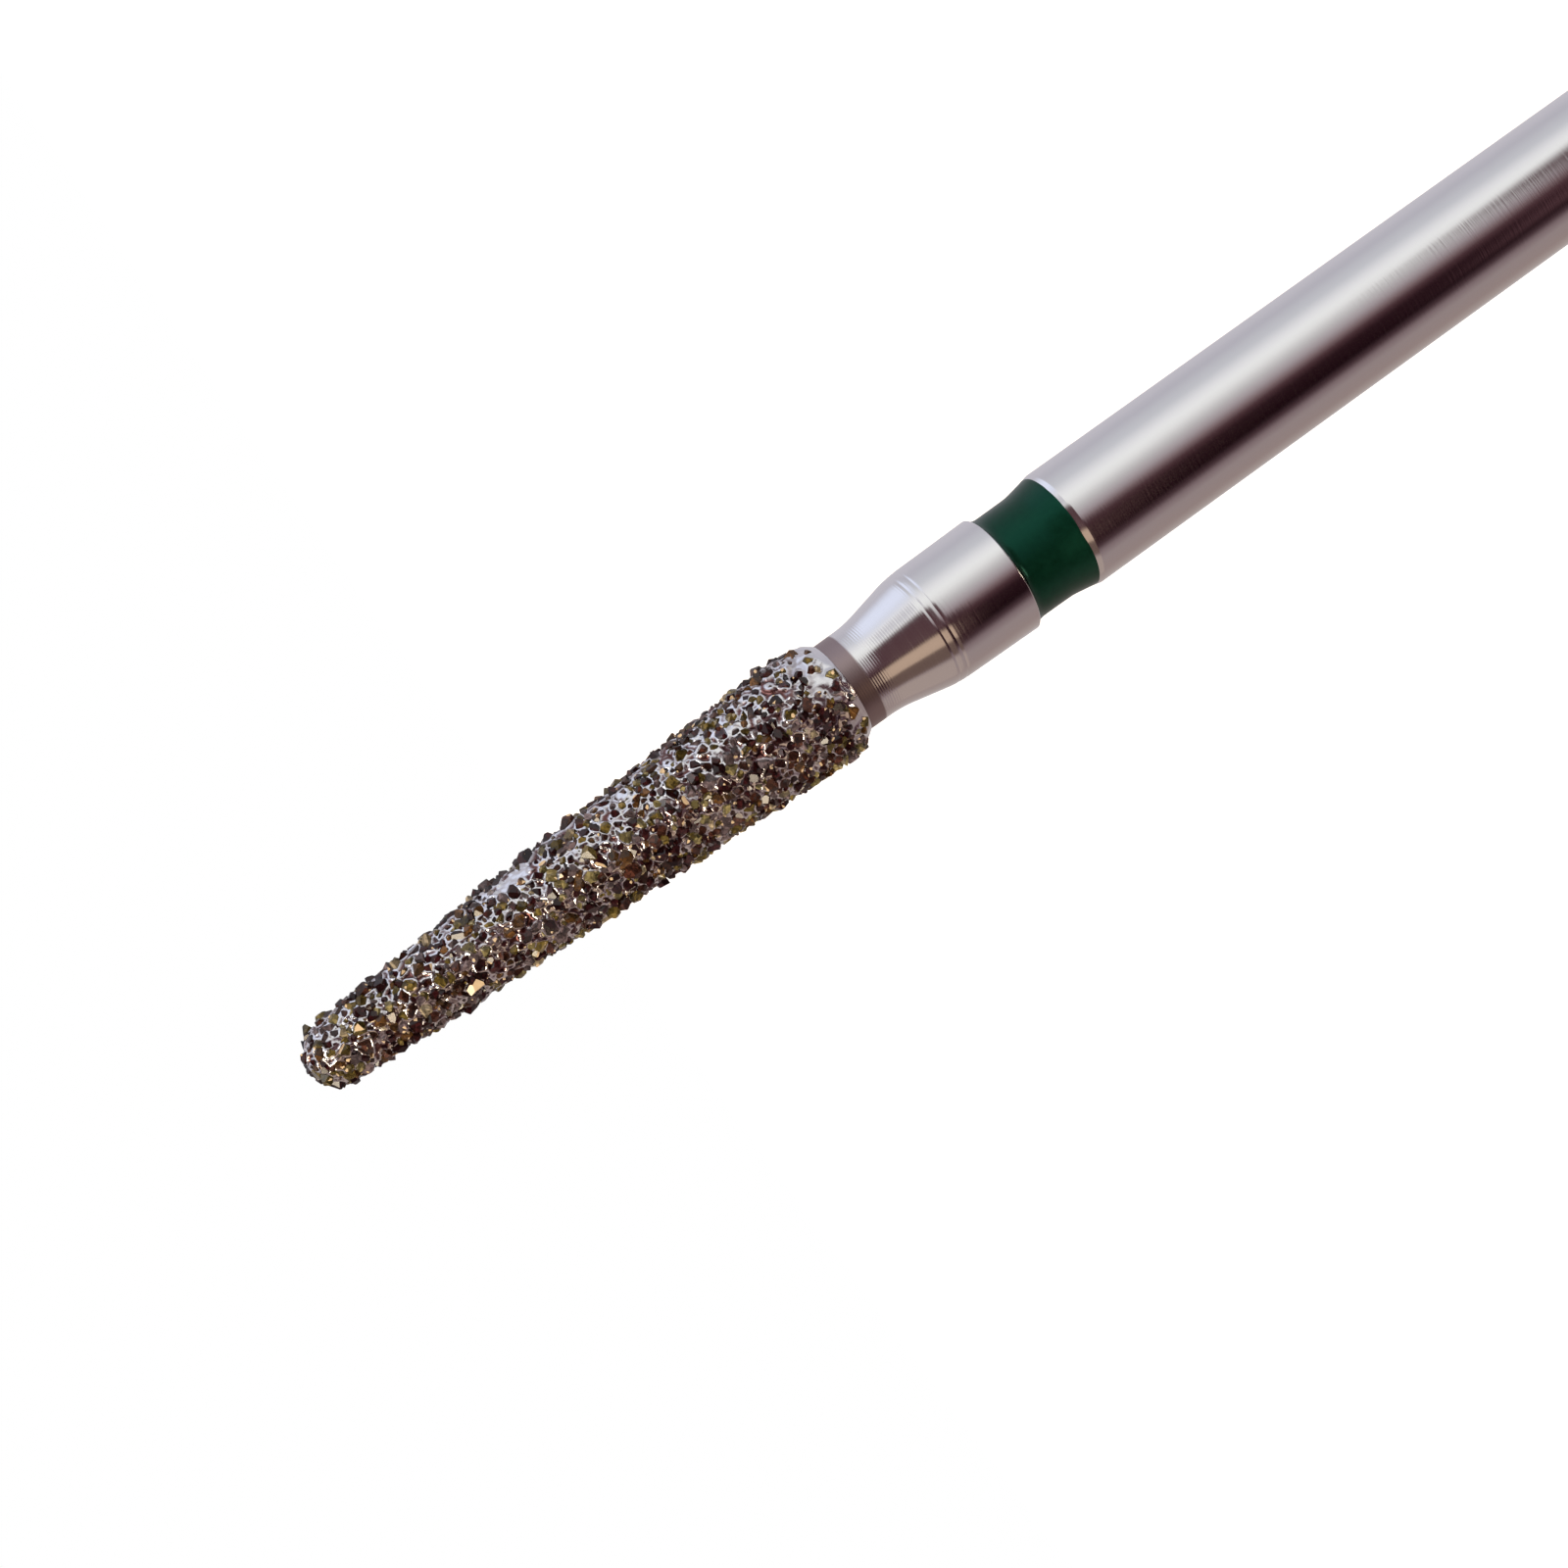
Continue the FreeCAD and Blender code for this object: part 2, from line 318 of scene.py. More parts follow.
while waiting:
    stack = [crowns.verts[min(waiting)]]
    waiting.discard(stack[0].index)
    crown = []
    while stack:
        vert = stack.pop()
        crown.append(vert.co * 1000)
        for edge in vert.link_edges:
            other = edge.other_vert(vert)
            if other.index in waiting:
                waiting.discard(other.index)
                stack.append(other)
    middle = sum(crown, Vector()) / len(crown)
    way = outward_at(middle)
    foot = min(p.dot(way) for p in crown)
    seat = middle + way * (foot - middle.dot(way))
    reach = max((p - seat - way * (p - seat).dot(way)).length for p in crown)
    spots.append((seat, way, reach))
crowns.free()
bpy.data.meshes.remove(grit)

# Smaller grains fill the gaps that the big ones leave
dice = random.Random(7)
small_reach = (0.035, 0.070)
small_tries = 24000
small_overlap = 0.70
bare_height = 18.81
bare_turn = math.radians(-38)
bare_length = 0.30
bare_width = 0.15
bare_slant = 0.20
covered_side = 0.1


def in_bare_patch(seat):
    """True on the one patch of the head where the plating holds no grain."""
    arc = (math.atan2(seat.y, seat.x) - bare_turn) * math.hypot(seat.x, seat.y)
    along = seat.z - bare_height
    return (along / bare_length) ** 2 + ((arc + bare_slant * along) / bare_width) ** 2 < 1


def grown_over(seat):
    """True for a share of the grains near the shoulder, which the nickel has covered."""
    if seat.x < covered_side:
        return False
    chance = 0.75 if seat.z < 14.95 else 0.36 if seat.z < 17.4 else 0.12
    return dice.random() < chance


def too_few(height, turn):
    """True where the grains are to thin out, towards the shoulder and on the covered side."""
    if height < head_foot + 0.10 + dice.random() * (0.45 + 0.40 * math.cos(turn)):
        return True
    return dice.random() < 0.94 * math.cos(turn) - 0.05


spots = [spot for spot in spots if not in_bare_patch(spot[0])]
buried = [spot for spot in spots if grown_over(spot[0])]
spots = [spot for spot in spots if spot not in buried]
open_count = 46
open_reach = (0.09, 0.15)
open_spots = []
for k in range(open_count):
    height = dice.uniform(head_foot + 0.3, tip_height)
    middle = on_head(height, dice.uniform(0, math.tau))
    open_spots.append((middle, dice.uniform(*open_reach)))
cell = 0.25
grid = {}


def cell_of(seat):
    """Key of the grid cell that holds this place."""
    return tuple(math.floor(c / cell) for c in seat)


for spot in spots:
    grid.setdefault(cell_of(spot[0]), []).append(spot)
for i in range(small_tries):
    height = dice.uniform(head_foot + 0.06, tip_height + tip_radius)
    turn = dice.uniform(0, math.tau)
    seat = on_head(height, turn)
    if in_bare_patch(seat) or too_few(height, turn):
        continue
    if any((seat - middle).length < room for middle, room in open_spots):
        continue
    size = dice.uniform(*small_reach)
    key = cell_of(seat)
    near = []
    for dx in (-1, 0, 1):
        for dy in (-1, 0, 1):
            for dz in (-1, 0, 1):
                near += grid.get((key[0] + dx, key[1] + dy, key[2] + dz), [])
    if any((other[0] - seat).length < (other[2] + size) * small_overlap for other in near):
        continue
    spot = (seat, outward_at(seat), size)
    grid.setdefault(key, []).append(spot)
    spots.append(spot)


def saw(lean, depth):
    """Cuts the crystal that is being edited off flat beyond a plane."""
    bpy.ops.mesh.select_all(action="SELECT")
    bpy.ops.mesh.bisect(plane_co=lean * depth, plane_no=lean, use_fill=True, clear_outer=True)


def any_way():
    """A way in space, chosen evenly at random."""
    return Vector([dice.gauss(0, 1) for k in range(3)]).normalized()


# Master crystals: cubes, eight-sided crystals and flat splinters, sawn off by planes
master_count = 12
masters = []
for kind in range(master_count):
    block, corner_depth = ((1.7, 0.86), (2.2, 0.72), (2.2, 0.80))[kind % 3]
    bpy.ops.mesh.primitive_cube_add(size=block, location=(0, 0, 0))
    crystal = bpy.context.object
    bpy.ops.object.mode_set(mode="EDIT")
    for sx in (-1, 1):
        for sy in (-1, 1):
            for sz in (-1, 1):
                wander = Vector([dice.uniform(-0.35, 0.35) for k in range(3)])
                lean = (Vector((sx, sy, sz)) + wander).normalized()
                saw(lean, corner_depth * dice.uniform(0.86, 1.16))
    for k in range(5):
        saw(any_way(), dice.uniform(0.62, 0.88))
    if kind % 3 == 2:
        flat = any_way()
        saw(flat, 0.45)
        saw(-flat, 0.50)
    bpy.ops.object.mode_set(mode="OBJECT")
    masters.append(crystal.data)
    bpy.data.objects.remove(crystal)

# Each spot gets its own copy, turned at random, and a few stand much prouder than the rest.
# One number per grain picks its tint, and one per facet a painted brightness that stands in for
# light reflected inside the crystal.
# The grains that the nickel covers are only shapes for the plating to rise over.
stretch_by = (0.78, 1.22)
grow_by = (1.10, 1.40)
proud_by = (-0.12, 0.22)
very_proud_by = (0.25, 0.50)
very_proud_share = 0.12
sunk_by = 0.35
sunk_length = 0.65
creep_by = (0.6, 1.25)
points, outlines, tints, facets, crystals = [], [], [], [], []
for seat, way, reach in spots + buried:
    master = dice.choice(masters)
    spin = Matrix.Rotation(dice.uniform(0, math.tau), 3, any_way())
    stretch = Matrix.Diagonal([dice.uniform(*stretch_by) for k in range(3)])
    grow = reach * dice.uniform(*grow_by)
    level = very_proud_by if dice.random() < very_proud_share else proud_by
    proud = dice.uniform(*level)
    proud -= sunk_by * max(0, 1 - (seat.z - head_foot) / sunk_length)
    middle = seat + way * reach * proud
    body = [middle + spin @ (stretch @ vert.co) * grow for vert in master.vertices]
    planes = []
    for face in master.polygons:
        a, b, c = [body[v] for v in face.vertices[:3]]
        lean = (b - a).cross(c - a).normalized()
        planes.append((*lean, lean.dot(a)))
    crystals.append((seat, way, reach, dice.uniform(*creep_by), np.array(planes)))
    if len(crystals) > len(spots):
        continue
    tint = dice.random()
    for face in master.polygons:
        outlines.append([len(points) + v for v in face.vertices])
        tints.append(tint)
        facets.append(dice.random())
    points += [tuple(p / 1000) for p in body]
grain_mesh = bpy.data.meshes.new("diamond_grains")
grain_mesh.from_pydata(points, [], outlines)
grain_mesh.update()
grains = bpy.data.objects.new("diamond_grains", grain_mesh)
bpy.context.scene.collection.objects.link(grains)
for name, values in (("grain_tint", tints), ("facet_glow", facets)):
    layer = grain_mesh.attributes.new(name, "FLOAT", "FACE")
    layer.data.foreach_set("value", values)

diamond = bpy.data.materials.new("diamond")
diamond.use_nodes = True
nodes, links = diamond.node_tree.nodes, diamond.node_tree.links
diamond_shader = nodes["Principled BSDF"]
diamond_shader.inputs["Roughness"].default_value = 0.10
diamond_shader.inputs["IOR"].default_value = 1.55
diamond_shader.inputs["Specular IOR Level"].default_value = 0.32
diamond_shader.inputs["Transmission Weight"].default_value = 0.3
tint_of = nodes.new("ShaderNodeAttribute")
tint_of.attribute_name = "grain_tint"
tints_ramp = nodes.new("ShaderNodeValToRGB")
tints_ramp.color_ramp.interpolation = "CONSTANT"
tint_stops = [
    (0.00, (0.028, 0.006, 0.007)), (0.33, (0.056, 0.020, 0.013)), (0.51, (0.105, 0.050, 0.016)),
    (0.61, (0.125, 0.092, 0.024)), (0.75, (0.215, 0.182, 0.080)), (0.83, (0.140, 0.105, 0.115)),
    (0.965, (0.32, 0.265, 0.175)),
]


def fill_ramp(ramp, stops):
    """Gives a colour ramp these stops, each a place and a colour, from low to high."""
    for k, (where, colour) in enumerate(stops):
        stop = ramp.elements[k] if k < 2 else ramp.elements.new(where)
        stop.position = where
        stop.color = colour + (1,)


fill_ramp(tints_ramp.color_ramp, tint_stops)
links.new(tint_of.outputs["Fac"], tints_ramp.inputs["Fac"])
# Painted reflections: the facet's number and small cells inside the grain scale its colour from
# dark to bright, as light reflected inside the crystal
glow_of = nodes.new("ShaderNodeAttribute")
glow_of.attribute_name = "facet_glow"
place = nodes.new("ShaderNodeTexCoord")
inner_reflection_cells = nodes.new("ShaderNodeTexVoronoi")
inner_reflection_cells.inputs["Scale"].default_value = 26000
links.new(place.outputs["Object"], inner_reflection_cells.inputs["Vector"])
inner_reflection_split = nodes.new("ShaderNodeSeparateColor")
links.new(inner_reflection_cells.outputs["Color"], inner_reflection_split.inputs["Color"])
deep = nodes.new("ShaderNodeMath")
deep.operation = "MULTIPLY_ADD"
deep.inputs[1].default_value = 0.45
links.new(inner_reflection_split.outputs["Red"], deep.inputs[0])
share_of = nodes.new("ShaderNodeMath")
share_of.operation = "MULTIPLY"
share_of.inputs[1].default_value = 0.55
links.new(glow_of.outputs["Fac"], share_of.inputs[0])
links.new(share_of.outputs["Value"], deep.inputs[2])
glow = nodes.new("ShaderNodeValToRGB")
glow.color_ramp.interpolation = "LINEAR"
glow_stops = [(0.10, 0.2), (0.50, 0.6), (0.72, 1.1), (0.90, 2.0)]
fill_ramp(glow.color_ramp, [(where, (value, value, value)) for where, value in glow_stops])
links.new(deep.outputs["Value"], glow.inputs["Fac"])
lit = nodes.new("ShaderNodeVectorMath")
lit.operation = "MULTIPLY"
links.new(tints_ramp.outputs["Color"], lit.inputs[0])
links.new(glow.outputs["Color"], lit.inputs[1])
# Painted glints: a rare facet and rare small cells take a cream colour, as highlights painted
# into the grain
glint = nodes.new("ShaderNodeMath")
glint.operation = "GREATER_THAN"
glint.inputs[1].default_value = 0.99
links.new(glow_of.outputs["Fac"], glint.inputs[0])
spark = nodes.new("ShaderNodeMath")
spark.operation = "GREATER_THAN"
spark.inputs[1].default_value = 0.985
links.new(inner_reflection_split.outputs["Green"], spark.inputs[0])
either = nodes.new("ShaderNodeMath")
either.operation = "MAXIMUM"
links.new(glint.outputs["Value"], either.inputs[0])
links.new(spark.outputs["Value"], either.inputs[1])
sparkle = nodes.new("ShaderNodeMix")
sparkle.data_type = "RGBA"
sparkle.inputs["B"].default_value = (0.85, 0.66, 0.42, 1)
links.new(either.outputs["Value"], sparkle.inputs["Factor"])
links.new(lit.outputs["Vector"], sparkle.inputs["A"])
links.new(sparkle.outputs["Result"], diamond_shader.inputs["Base Color"])
grain_mesh.materials.append(diamond)
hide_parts("diamond_grit")
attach(grains, "root")

# Plating. Nickel grown round the grains in a bath: it creeps up each one in a thin lip,
# leaves lumpy valleys between them, and runs out in a smooth masked edge on the shoulder.
bpy.ops.object.select_all(action="DESELECT")

plating_turns = 208
plating_rows = 440
lip_height = 0.040
lip_crest = 0.010
lip_width = 0.016
water_line = 0.02
search_height = 0.22
search_gap = 0.2

bpy.ops.mesh.primitive_grid_add(x_subdivisions=1, y_subdivisions=plating_rows, size=2)
plating = bpy.context.object
plating.name = "nickel_plating"
bpy.ops.object.mode_set(mode="EDIT")
strip = bmesh.from_edit_mesh(plating.data)
edge_side = [v for v in strip.verts if v.co.x > 0]
bmesh.ops.delete(strip, geom=edge_side, context="VERTS")
rows = sorted(strip.verts, key=lambda v: v.co.y)
side_length = (tip_height - shoulder_height) / math.cos(taper)
cap_length = tip_radius * (math.pi / 2 - taper)
shoulder_run = 0.30
whole = shoulder_run + side_length + cap_length
for k, vert in enumerate(rows):
    along = whole * k / (len(rows) - 1)
    if along < shoulder_run:
        height = head_foot + (shoulder_height - head_foot) * (along / shoulder_run) ** 1.3
    elif along < shoulder_run + side_length:
        height = shoulder_height + (along - shoulder_run) * math.cos(taper)
    else:
        bend = taper + (along - shoulder_run - side_length) / tip_radius
        height = tip_height + tip_radius * math.sin(bend)
    vert.co = Vector((ring_at(height), 0, height)) / 1000
rows[-1].co.x = 0
bmesh.update_edit_mesh(plating.data)
bpy.ops.mesh.select_all(action="SELECT")
bpy.ops.mesh.spin(steps=plating_turns, angle=math.tau, center=(0, 0, 0), axis=(0, 0, 1))
bpy.ops.mesh.select_all(action="SELECT")
bpy.ops.mesh.remove_doubles(threshold=1e-8)
bpy.ops.object.mode_set(mode="OBJECT")

plating.data.update()
skin = np.array([v.co for v in plating.data.vertices]) * 1000
skin_ways = np.array([outward_at(Vector(p)) for p in skin])
order = np.argsort(skin[:, 2])
levels = skin[order, 2]

# Each grain lifts the plating round its own outline at the water line; clear_of is how far
# each point of the skin is from the nearest bare grain
rise = np.zeros(len(skin))
clear_of = np.ones(len(skin))
for k, (seat, way, reach, creep, planes) in enumerate(crystals):
    low_row, high_row = np.searchsorted(levels, (seat.z - search_height, seat.z + search_height))
    near = order[low_row:high_row]
    water = np.array(seat + way * water_line)
    apart = skin[near] - water
    lift = apart @ np.array(way)
    apart -= np.outer(lift, np.array(way))
    gap = np.linalg.norm(apart, axis=1)
    close = (gap < search_gap) & (np.abs(lift) < 0.05 + gap / 3)
    near, apart, gap = near[close], apart[close], gap[close]
    facing = (apart / np.maximum(gap, 1e-6)[:, None]) @ planes[:, :3].T
    room = planes[:, 3] - planes[:, :3] @ water
    side = np.where(facing > 1e-3, room / np.maximum(facing, 1e-3), 9).min(axis=1)
    past = np.maximum(np.abs(gap - side) - lip_crest, 0)
    if k < len(spots):
        clear_of[near] = np.minimum(clear_of[near], np.maximum(gap - side, 0))
    else:
        past = np.maximum(gap - side, 0)
    lip = lip_height * creep * (reach / 0.085) ** 0.7 * np.exp(-(past / lip_width) ** 2)
    lip *= min(1, max(0.45, (seat.z - 14.3) / 0.6))
    rise[near] = np.maximum(rise[near], lip)

# Narrow valleys between the grains get painted shade, a dark brown mixed into the nickel's
# colour, but not the bare patch or the shoulder
valley_shade_mask = np.clip((clear_of - 0.012) / 0.014, 0, 1) * np.clip((0.085 - clear_of) / 0.03, 0, 1)
valley_shade_mask[[in_bare_patch(Vector(p)) for p in skin]] = 0
valley_shade_mask *= np.clip((skin[:, 2] - 14.4) / 0.5, 0, 1)
valley = plating.data.attributes.new("valley", "FLOAT", "POINT")
valley.data.foreach_set("value", valley_shade_mask)
for i, vert in enumerate(plating.data.vertices):
    spot = Vector(skin[i])
    fade = min(1, (spot.z - head_foot) / 0.12)
    swell = 0.018 + 0.020 * max(0, 1 - (spot.z - head_foot) / 0.6)
    lump = noise.noise(spot * 5) * swell + noise.noise(spot * 16) * 0.008
    vert.co += Vector(skin_ways[i]) * (rise[i] + lump) * fade / 1000

# The inside of the shell is the core of the blank that it grew on
bpy.ops.object.select_all(action="DESELECT")
plating.select_set(True)
bpy.context.view_layer.objects.active = plating
bpy.ops.object.mode_set(mode="EDIT")
inside_stations = [
    (0.605, 14.215), (0.6387, 14.485), (0.2740, 21.57), (0.2050, 21.755), (0.0600, 21.831),
]
ring_edges(plating, head_foot, 0.001)
here = (foot_radius, head_foot)
for station in inside_stations:
    pull_to(station[0], station[1], here[0], here[1])
    here = station
bpy.ops.mesh.edge_face_add()
bpy.ops.mesh.select_all(action="SELECT")
bpy.ops.mesh.normals_make_consistent(inside=False)
bpy.ops.object.mode_set(mode="OBJECT")
bpy.ops.object.shade_smooth_by_angle(angle=math.radians(75))

nickel = bpy.data.materials.new("plated_nickel")
nickel.use_nodes = True
nodes, links = nickel.node_tree.nodes, nickel.node_tree.links
nickel_shader = nodes["Principled BSDF"]
nickel_shader.inputs["Metallic"].default_value = 1
valley_of = nodes.new("ShaderNodeAttribute")
valley_of.attribute_name = "valley"
# Painted shade: the nickel's colour turns dark brown in the narrow valleys between grains
painted_valley_shade = nodes.new("ShaderNodeMix")
painted_valley_shade.data_type = "RGBA"
painted_valley_shade.inputs["A"].default_value = (0.76, 0.75, 0.78, 1)
painted_valley_shade.inputs["B"].default_value = (0.15, 0.065, 0.060, 1)
links.new(valley_of.outputs["Fac"], painted_valley_shade.inputs["Factor"])
links.new(painted_valley_shade.outputs["Result"], nickel_shader.inputs["Base Color"])
place = nodes.new("ShaderNodeTexCoord")
grown = nodes.new("ShaderNodeTexNoise")
grown.inputs["Scale"].default_value = 26000
grown.inputs["Detail"].default_value = 4
links.new(place.outputs["Object"], grown.inputs["Vector"])
satin = nodes.new("ShaderNodeMapRange")
satin.inputs["From Min"].default_value = 0.3
satin.inputs["From Max"].default_value = 0.7
satin.inputs["To Min"].default_value = 0.10
satin.inputs["To Max"].default_value = 0.24
links.new(grown.outputs["Fac"], satin.inputs["Value"])
links.new(satin.outputs["Result"], nickel_shader.inputs["Roughness"])
pimples = nodes.new("ShaderNodeBump")
pimples.inputs["Strength"].default_value = 0.25
pimples.inputs["Distance"].default_value = 0.000006
links.new(grown.outputs["Fac"], pimples.inputs["Height"])
links.new(pimples.outputs["Normal"], nickel_shader.inputs["Normal"])
plating.data.materials.append(nickel)
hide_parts("nickel_bond")
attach(plating, "root")

# Stage: a pale floor, and a round light tent with a dark gap in front, as a table-top studio
# has. Only mirrors and soft light see the tent and its cards; the camera sees plain white.
bpy.ops.object.select_all(action="DESELECT")

bpy.ops.mesh.primitive_uv_sphere_add(segments=64, ring_count=32, radius=0.25)
tent = bpy.context.object
tent.name = "light_tent"
tent_paint = bpy.data.materials.new("tent_cloth")
tent_paint.use_nodes = True
nodes, links = tent_paint.node_tree.nodes, tent_paint.node_tree.links
nodes.clear()
place = nodes.new("ShaderNodeTexCoord")
parts = nodes.new("ShaderNodeSeparateXYZ")
links.new(place.outputs["Object"], parts.inputs["Vector"])
front = nodes.new("ShaderNodeMath")
front.operation = "MULTIPLY"
front.inputs[1].default_value = -1
links.new(parts.outputs["Y"], front.inputs[0])
side = nodes.new("ShaderNodeMath")
side.operation = "MULTIPLY"
side.inputs[1].default_value = -1
links.new(parts.outputs["X"], side.inputs[0])
turn = nodes.new("ShaderNodeMath")
turn.operation = "ARCTAN2"
links.new(side.outputs["Value"], turn.inputs[0])
links.new(front.outputs["Value"], turn.inputs[1])
share = nodes.new("ShaderNodeMapRange")
share.inputs["From Min"].default_value = -math.pi
share.inputs["From Max"].default_value = math.pi
links.new(turn.outputs["Value"], share.inputs["Value"])
cloth = nodes.new("ShaderNodeValToRGB")
cloth.color_ramp.interpolation = "LINEAR"
# Colour of the cloth by the turn round the bur, in degrees; 0 is the camera's side
bands = [
    (-180, (0.60, 0.58, 0.62)), (-131, (0.61, 0.59, 0.64)), (-106, (0.55, 0.54, 0.59)),
    (-74, (0.66, 0.67, 0.70)), (-54, (0.92, 0.92, 0.92)), (-43, (0.99, 1.00, 0.97)),
    (-33, (0.92, 0.92, 0.89)), (-17, (0.62, 0.60, 0.59)), (-2, (0.41, 0.35, 0.36)),
    (8, (0.23, 0.155, 0.16)), (17, (0.075, 0.032, 0.038)), (28, (0.020, 0.006, 0.009)),
    (52, (0.008, 0.001, 0.003)), (64, (0.070, 0.036, 0.042)), (75, (0.25, 0.18, 0.185)),
    (90, (0.345, 0.275, 0.265)), (120, (0.35, 0.27, 0.25)), (150, (0.45, 0.38, 0.35)),
    (180, (0.60, 0.58, 0.62)),
]
fill_ramp(cloth.color_ramp, [((degrees + 180) / 360, colour) for degrees, colour in bands])
links.new(share.outputs["Result"], cloth.inputs["Fac"])
ray = nodes.new("ShaderNodeLightPath")
soft = nodes.new("ShaderNodeMix")
soft.data_type = "RGBA"
soft.inputs["B"].default_value = (1.35, 1.10, 0.90, 1)
half = nodes.new("ShaderNodeMath")
half.operation = "MULTIPLY"
half.inputs[1].default_value = 0.5
links.new(ray.outputs["Is Diffuse Ray"], half.inputs[0])
links.new(half.outputs["Value"], soft.inputs["Factor"])
links.new(cloth.outputs["Color"], soft.inputs["A"])
seen = nodes.new("ShaderNodeMix")
seen.data_type = "RGBA"
seen.inputs["B"].default_value = (1, 1, 1, 1)
links.new(ray.outputs["Is Camera Ray"], seen.inputs["Factor"])
links.new(soft.outputs["Result"], seen.inputs["A"])
shine = nodes.new("ShaderNodeEmission")
links.new(seen.outputs["Result"], shine.inputs["Color"])
surface = nodes.new("ShaderNodeOutputMaterial")
links.new(shine.outputs["Emission"], surface.inputs["Surface"])
tent.data.materials.append(tent_paint)


studio_middle = Vector((0, 0, 0.0145))


def round_the_bur(turn, lift):
    """Way from the bur to a place in the studio; turn 0 is the camera's side."""
    a, e = math.radians(turn), math.radians(lift)
    return Vector((-math.sin(a) * math.cos(e), -math.cos(a) * math.cos(e), math.sin(e)))


def card(name, turn, lift, wide, tall, colour, core=(0.26, 0.44)):
    """Card inside the tent with soft edges, seen only in mirrors, its half size in degrees."""
    far = 0.18
    bpy.ops.mesh.primitive_plane_add(size=1)
    obj = bpy.context.object
    obj.name = name
    width = 2 * far * math.tan(math.radians(wide))
    obj.scale = (width, 2 * far * math.tan(math.radians(tall)), 1)
    obj.rotation_euler = (-round_the_bur(turn, lift)).to_track_quat("Z", "Y").to_euler()
    obj.location = studio_middle + round_the_bur(turn, lift) * far
    obj.visible_camera = obj.visible_diffuse = obj.visible_shadow = False
    paint = bpy.data.materials.new(name)
    paint.use_nodes = True
    nodes, links = paint.node_tree.nodes, paint.node_tree.links
    nodes.clear()
    place = nodes.new("ShaderNodeTexCoord")
    parts = nodes.new("ShaderNodeSeparateXYZ")
    links.new(place.outputs["Object"], parts.inputs["Vector"])
    cover = nodes.new("ShaderNodeMath")
    cover.operation = "MULTIPLY"
    for k, axis in enumerate("XY"):
        size = nodes.new("ShaderNodeMath")
        size.operation = "ABSOLUTE"
        links.new(parts.outputs[axis], size.inputs[0])
        fade = nodes.new("ShaderNodeMapRange")
        fade.interpolation_type = "SMOOTHSTEP"
        fade.inputs["From Min"].default_value = 0.5
        fade.inputs["From Max"].default_value = core[k]
        links.new(size.outputs["Value"], fade.inputs["Value"])
        links.new(fade.outputs["Result"], cover.inputs[k])
    clear = nodes.new("ShaderNodeBsdfTransparent")
    shine = nodes.new("ShaderNodeEmission")
    shine.inputs["Color"].default_value = colour + (1,)
    blend = nodes.new("ShaderNodeMixShader")
    links.new(cover.outputs["Value"], blend.inputs["Fac"])
    links.new(clear.outputs["BSDF"], blend.inputs[1])
    links.new(shine.outputs["Emission"], blend.inputs[2])
    surface = nodes.new("ShaderNodeOutputMaterial")
    links.new(blend.outputs["Shader"], surface.inputs["Surface"])
    obj.data.materials.append(paint)


card("lens_card", -6, 29, 30, 38, (0.090, 0.042, 0.048), (0.26, 0.46))
card("low_card", 10, -58, 40, 24, (0.090, 0.042, 0.048))
card("dim_card", 60, 8, 20, 18, (0.150, 0.095, 0.078))
card("rim_card", 102, 8, 30, 18, (0.43, 0.34, 0.30))
card("warm_card", 35.5, 7, 17, 19, (0.56, 0.40, 0.29))
card("grey_card", -44, 15, 15, 12, (0.66, 0.65, 0.68), (0.10, 0.40))
card("window_card", -88, 12, 38, 20, (0.88, 0.93, 1.08), (0.05, 0.40))
card("brown_card", 34, -12.5, 34, 3.5, (0.050, 0.020, 0.024), (0.26, 0.47))

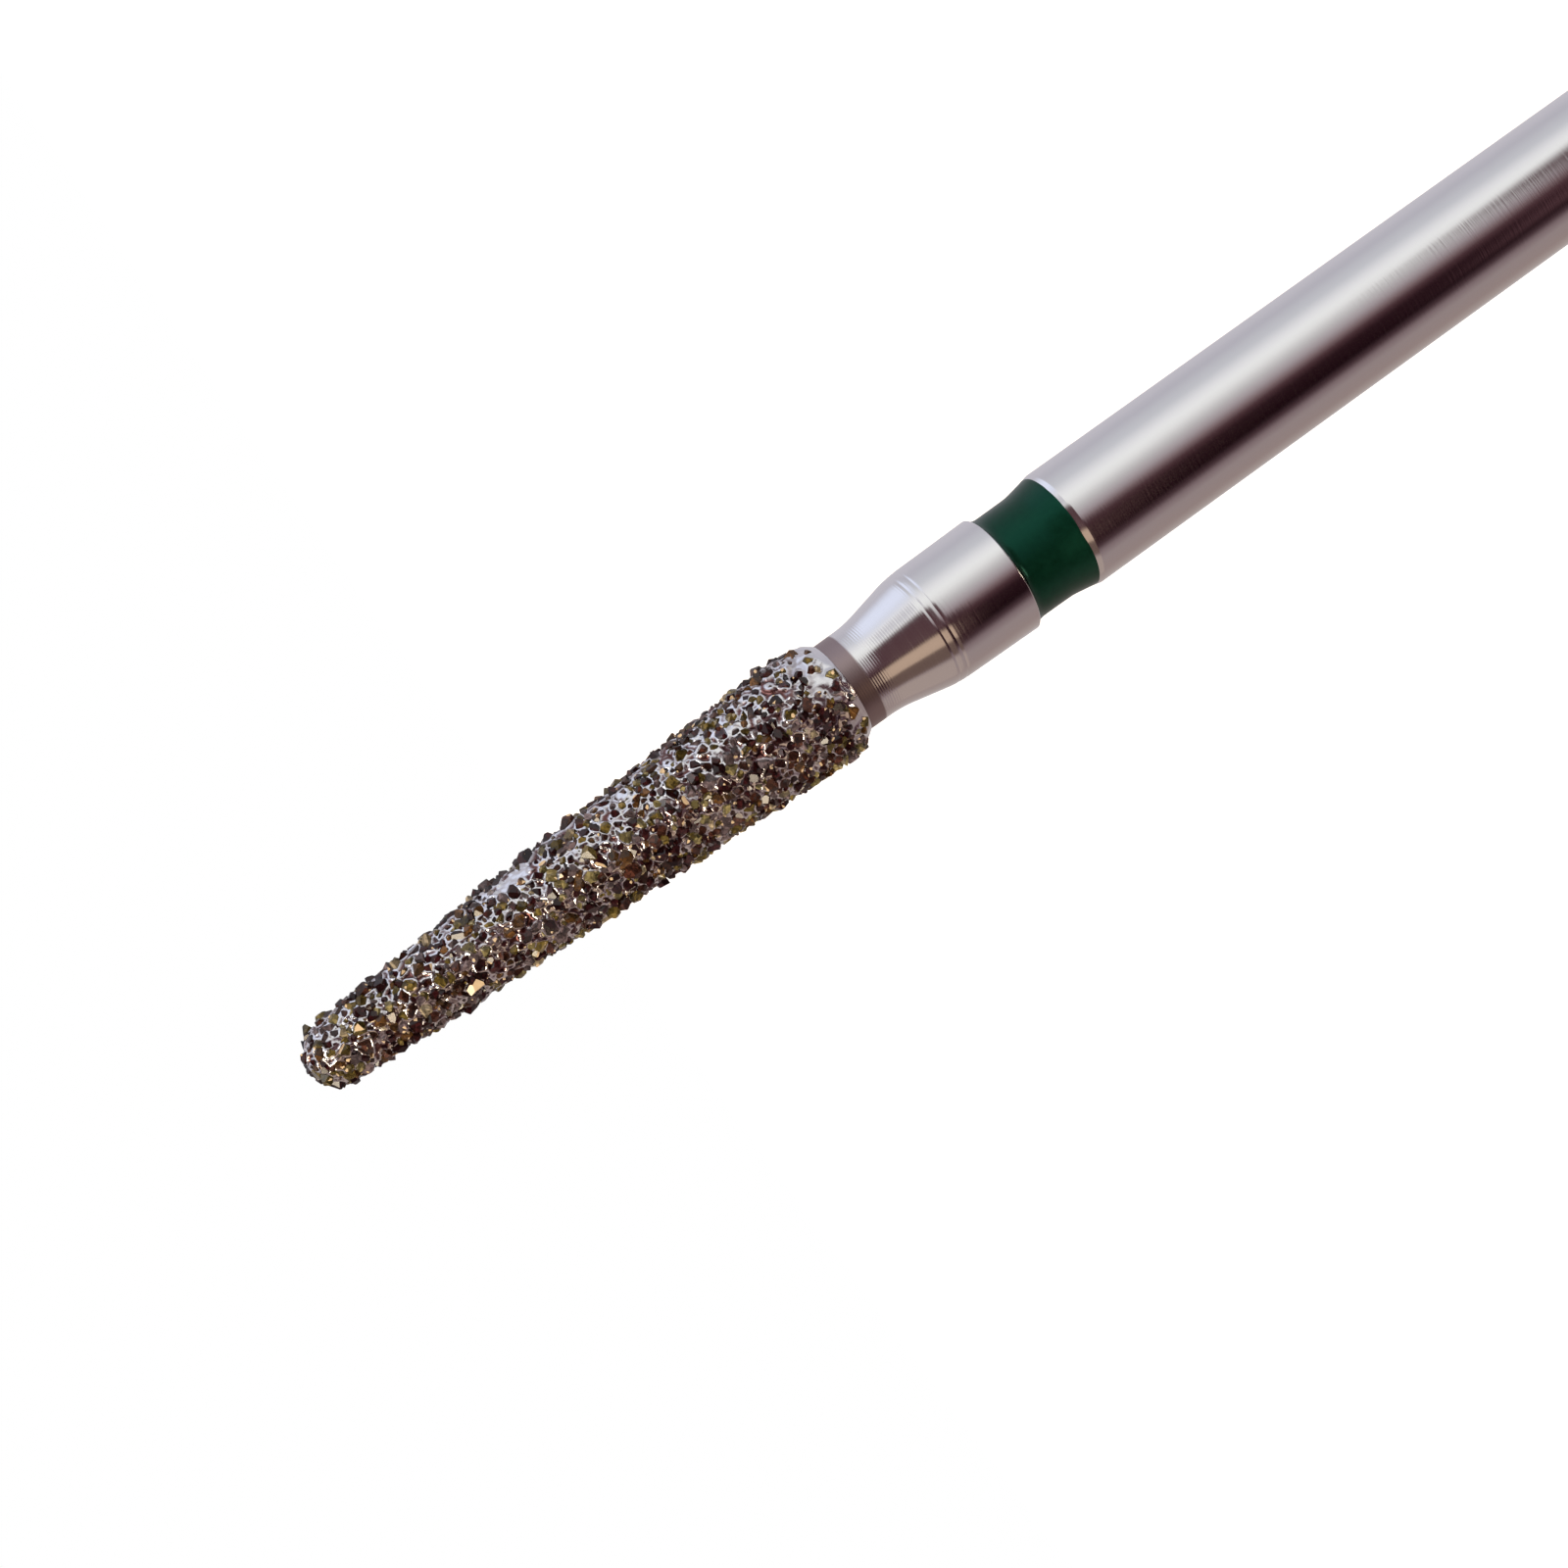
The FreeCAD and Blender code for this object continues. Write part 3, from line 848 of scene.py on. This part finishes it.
bpy.ops.mesh.primitive_circle_add(vertices=96, radius=0.24, fill_type="NGON", location=(0, 0, 0))
floor = bpy.context.object
floor.name = "floor"
floor.visible_glossy = False
floor_paint = bpy.data.materials.new("pale_floor")
floor_paint.use_nodes = True
nodes, links = floor_paint.node_tree.nodes, floor_paint.node_tree.links
floor_shader = nodes["Principled BSDF"]
floor_shader.inputs["Base Color"].default_value = (0.88, 0.88, 0.88, 1)
floor_shader.inputs["Roughness"].default_value = 0.9
floor_shader.inputs["Emission Color"].default_value = (1, 1, 1, 1)
ray = nodes.new("ShaderNodeLightPath")
paler = nodes.new("ShaderNodeMath")
paler.operation = "MULTIPLY"
paler.inputs[1].default_value = 0.5
links.new(ray.outputs["Is Camera Ray"], paler.inputs[0])
links.new(paler.outputs["Value"], floor_shader.inputs["Emission Strength"])
floor.data.materials.append(floor_paint)

world = bpy.data.worlds.new("studio")
bpy.context.scene.world = world
world.use_nodes = True
world.node_tree.nodes["Background"].inputs["Color"].default_value = (1, 1, 1, 1)
world.node_tree.nodes["Background"].inputs["Strength"].default_value = 1.0


def lamp(name, turn, lift, width, shine, colour):
    """Small square lamp round the bur; shine is how bright its face looks."""
    far = 0.16
    light = bpy.data.lights.new(name, "AREA")
    light.size = width
    light.energy = shine * math.pi * width ** 2
    light.color = colour
    obj = bpy.data.objects.new(name, light)
    bpy.context.scene.collection.objects.link(obj)
    obj.location = studio_middle + round_the_bur(turn, lift) * far
    obj.rotation_euler = (-round_the_bur(turn, lift)).to_track_quat("-Z", "Y").to_euler()
    obj.visible_camera = False


lamp("top_lamp", -46, 44, 0.05, 2.5, (1.0, 1.0, 1.0))
lamp("warm_lamp", 12, 42, 0.044, 17, (1.0, 0.86, 0.66))
lamp("second_lamp", 50, 46, 0.036, 17, (1.0, 0.84, 0.62))
lamp("low_lamp", 36, -62, 0.034, 9, (1.0, 0.84, 0.62))

# Camera at the photo's angle, a short way off and tilted so that the bur lies aslant
camera_data = bpy.data.cameras.new("camera")
camera_data.lens = 63
camera_data.sensor_width = 36
camera_data.clip_start = 0.001
camera_data.clip_end = 2
camera = bpy.data.objects.new("camera", camera_data)
bpy.context.scene.collection.objects.link(camera)
right = Vector((-0.58506, -0.13009, -0.80050))
up = Vector((0.81100, -0.09385, -0.57750))
back = right.cross(up).normalized()
right = up.cross(back).normalized()
up = back.cross(right)
axis_point = Vector((0, 0, 0.0108))
from_axis = right * -3.42 + up * -3.12 + back * 33.68
camera_turn = Matrix((right, up, back)).transposed().to_4x4()
camera.matrix_world = Matrix.Translation(axis_point + from_axis / 1000) @ camera_turn
bpy.context.scene.camera = camera
bpy.context.scene.view_settings.view_transform = "Standard"
